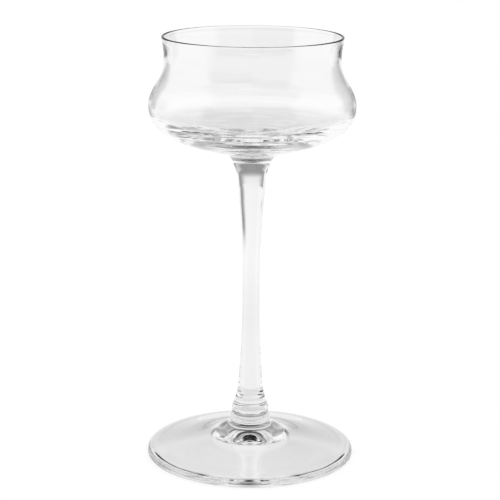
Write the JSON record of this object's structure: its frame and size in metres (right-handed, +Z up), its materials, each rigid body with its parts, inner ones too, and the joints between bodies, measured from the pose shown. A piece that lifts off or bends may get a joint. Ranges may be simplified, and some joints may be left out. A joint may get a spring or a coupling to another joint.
{
  "type": "cocktail glass",
  "caption": "Clear cocktail glass: a waisted coupe bowl with a fine rounded lip on a tall drawn stem, fused to a boss on a wide, gently coned foot. Stands free and is held by the stem.",
  "frame": {"origin": "centre of the flat ring under the foot, on the table", "axes": "+Z up the stem's axis to the rim; X and Y lie in the table's plane, and the glass is round, so neither is special"},
  "size_m": [0.0874, 0.0874, 0.178],
  "materials": {
    "blown_glass": "clear, blown and fire-polished",
    "drawn_glass": "clear, drawn, with faint lengthwise streaks",
    "pressed_glass": "clear, pressed and fire-polished, with a rounded edge"
  },
  "bodies": {
    "root": {"bowl": "blown_glass", "stem": "drawn_glass", "foot": "pressed_glass"}
  },
  "joints": []
}
